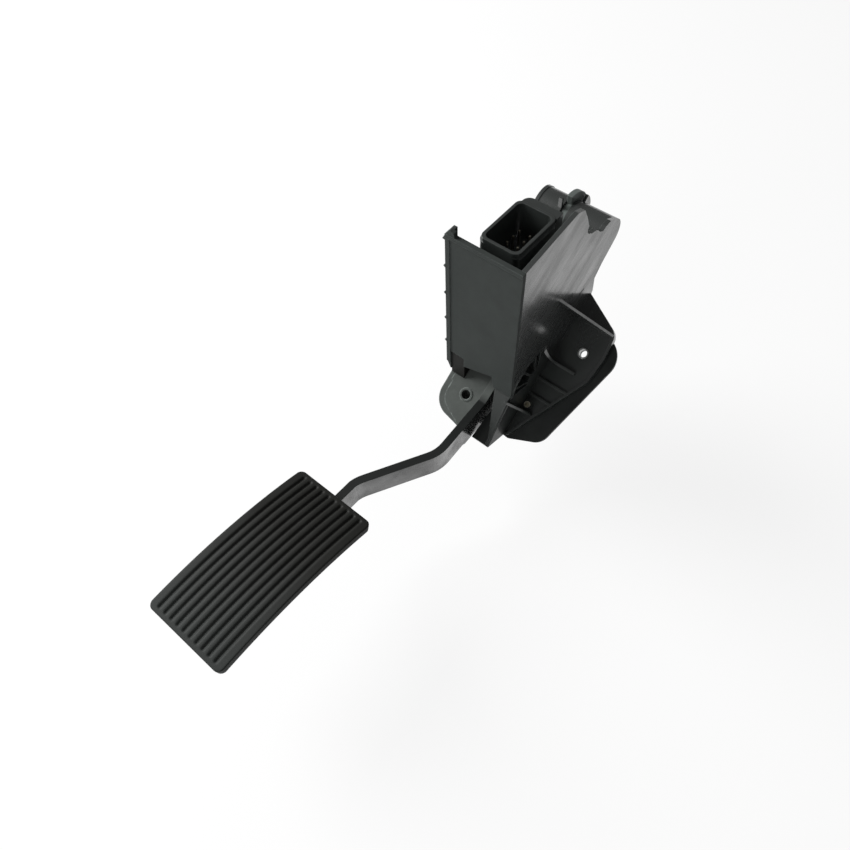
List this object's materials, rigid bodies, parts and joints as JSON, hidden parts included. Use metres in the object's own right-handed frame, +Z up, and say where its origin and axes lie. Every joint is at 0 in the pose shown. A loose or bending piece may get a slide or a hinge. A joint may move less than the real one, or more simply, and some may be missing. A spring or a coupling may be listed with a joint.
{
  "type": "accelerator pedal",
  "caption": "Suspended accelerator pedal: moulded housing with a position sensor and socket, bent steel arm and ribbed rubber pad.",
  "frame": {"origin": "on the mounting face, at the foot of the pivot, midway between the side walls", "axes": "+X along the pivot to the right, +Z up out of the socket, the pad faces +Z and its front end is towards -Y; the mounting face is tilted 35 degrees about X"},
  "size_m": [0.1096, 0.3539, 0.1646],
  "materials": {
    "housing": "moulded, fine grain",
    "front_cover": "moulded, satin",
    "mounting_plate": "black coat",
    "mounting_sleeves": "bright zinc",
    "locating_insert": "turned",
    "bushes": "bearing plastic",
    "pivot_shaft": "ground",
    "arm_bar": "grey-black coat",
    "arm_casting": "cast, matt grey",
    "arm_rivets": "plain",
    "pad_plate": "black coat",
    "pad_rubber": "black rubber",
    "stops": "black rubber",
    "return_lever": "glass-filled",
    "lever_roller": "smooth",
    "spring_steel": "oiled spring wire",
    "spindle": "ground",
    "sensor_housing": "moulded",
    "sensor_cover": "moulded",
    "cover_screws": "zinc",
    "terminal_pins": "tinned",
    "circuit_board": "green solder mask",
    "hall_chips": "moulded",
    "rotor": "moulded",
    "rotor_magnet": "ferrite"
  },
  "bodies": {
    "base": {"housing": "housing", "front_cover": "front_cover", "mounting_plate": "mounting_plate", "mounting_sleeves": "mounting_sleeves", "locating_insert": "locating_insert", "left_bush": "bushes", "right_bush": "bushes", "idle_stop": "stops", "full_stop": "stops", "spring_spindle": "spindle", "left_spring": "spring_steel", "right_spring": "spring_steel", "sensor_housing": "sensor_housing", "sensor_cover": "sensor_cover", "cover_screws": "cover_screws", "terminal_pins": "terminal_pins", "circuit_board": "circuit_board", "hall_chips": "hall_chips"},
    "pedal": {"pivot_shaft": "pivot_shaft", "arm_bar": "arm_bar", "arm_casting": "arm_casting", "arm_rivets": "arm_rivets", "pad_plate": "pad_plate", "pad_rubber": "pad_rubber", "rotor": "rotor", "rotor_magnet": "rotor_magnet", "shaft_clip": "spindle"},
    "lever": {"return_lever": "return_lever", "roller_pin": "spindle"},
    "roller": {"lever_roller": "lever_roller"}
  },
  "joints": [
    {"name": "pedal_hinge", "type": "hinge", "parent": "base", "child": "pedal", "pos_m": [0, -0.00918, 0.01311], "axis": [1, 0, 0], "range_deg": [0, 15], "stiffness_Nm_per_rad": 10, "springref_deg": -11.46},
    {"name": "lever_hinge", "type": "hinge", "parent": "base", "child": "lever", "pos_m": [-0.0057, 0.06, 0.0866], "axis": [1, 0, 0], "range_deg": [-11.3, 0]},
    {"name": "roller_spin", "type": "hinge", "parent": "lever", "child": "roller", "pos_m": [-0.0057, 0.01978, 0.04498], "axis": [1, 0, 0], "range_deg": [-14.2, 0]}
  ],
  "couplings": [
    {"joint": "lever_hinge", "follows": "pedal_hinge", "ratio": -0.74},
    {"joint": "roller_spin", "follows": "pedal_hinge", "ratio": -0.924}
  ]
}
